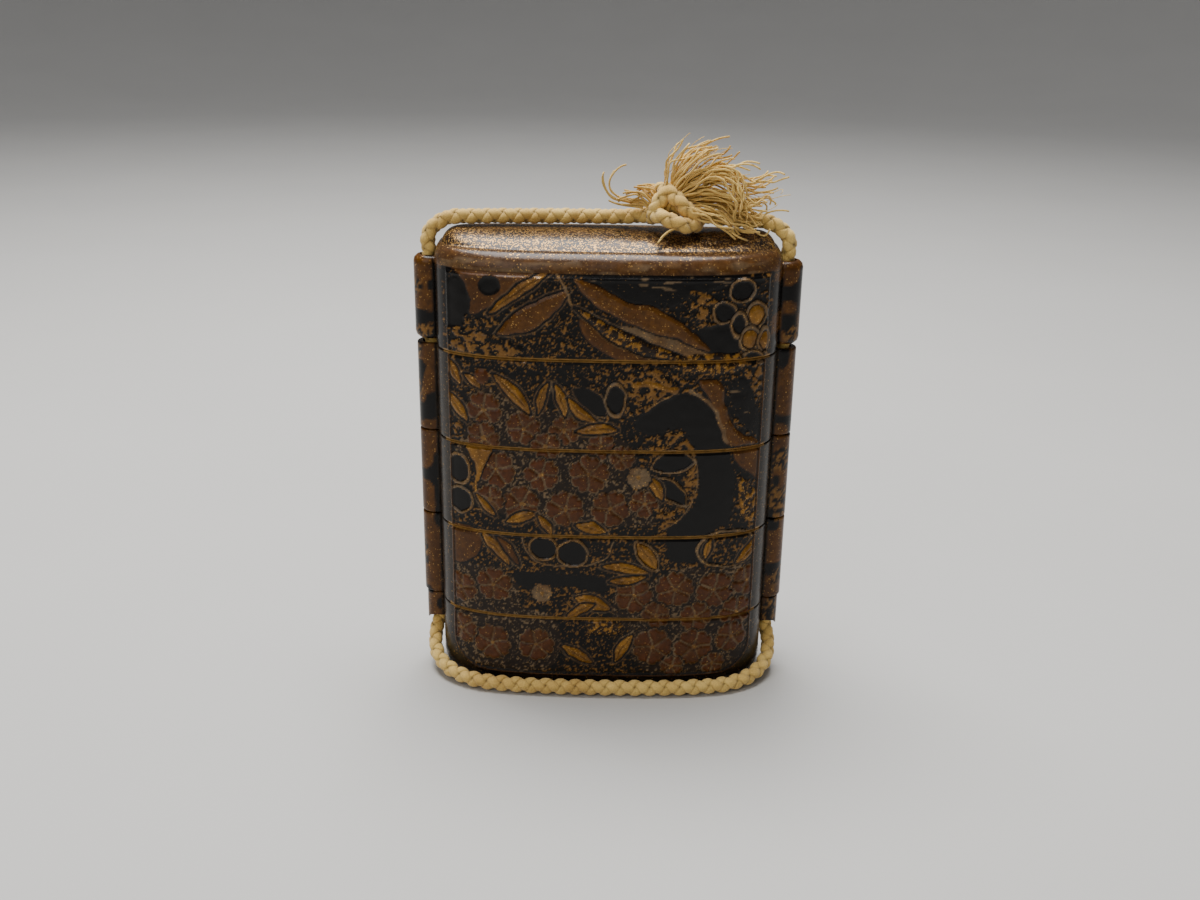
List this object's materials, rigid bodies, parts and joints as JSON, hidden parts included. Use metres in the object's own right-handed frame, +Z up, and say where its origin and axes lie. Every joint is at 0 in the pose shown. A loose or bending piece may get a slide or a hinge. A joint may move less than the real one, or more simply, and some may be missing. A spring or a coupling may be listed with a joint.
{
  "type": "inro case",
  "caption": "Stacked lacquered case with a domed lid, side runners and a knotted silk cord, decorated with blossoms and leaves.",
  "frame": {"origin": "middle of the case's footprint, on the flat face it stands on", "axes": "+Z up through the stacked trays to the lid, +X to the right along the case's width, -Y out of the front"},
  "size_m": [0.0598, 0.0256, 0.0861],
  "materials": {
    "lacquer": "black and brown lacquer over thin wood, glossy and worn, with raised russet, gold-brown and gold-flecked decoration",
    "silk_cord": "braided straw-yellow silk, matt, with frayed ends"
  },
  "bodies": {
    "root": {"foot_tray": "lacquer", "tray_1": "lacquer", "tray_2": "lacquer", "tray_3": "lacquer", "lid": "lacquer", "cord": "silk_cord", "cord_knot": "silk_cord"}
  },
  "joints": []
}
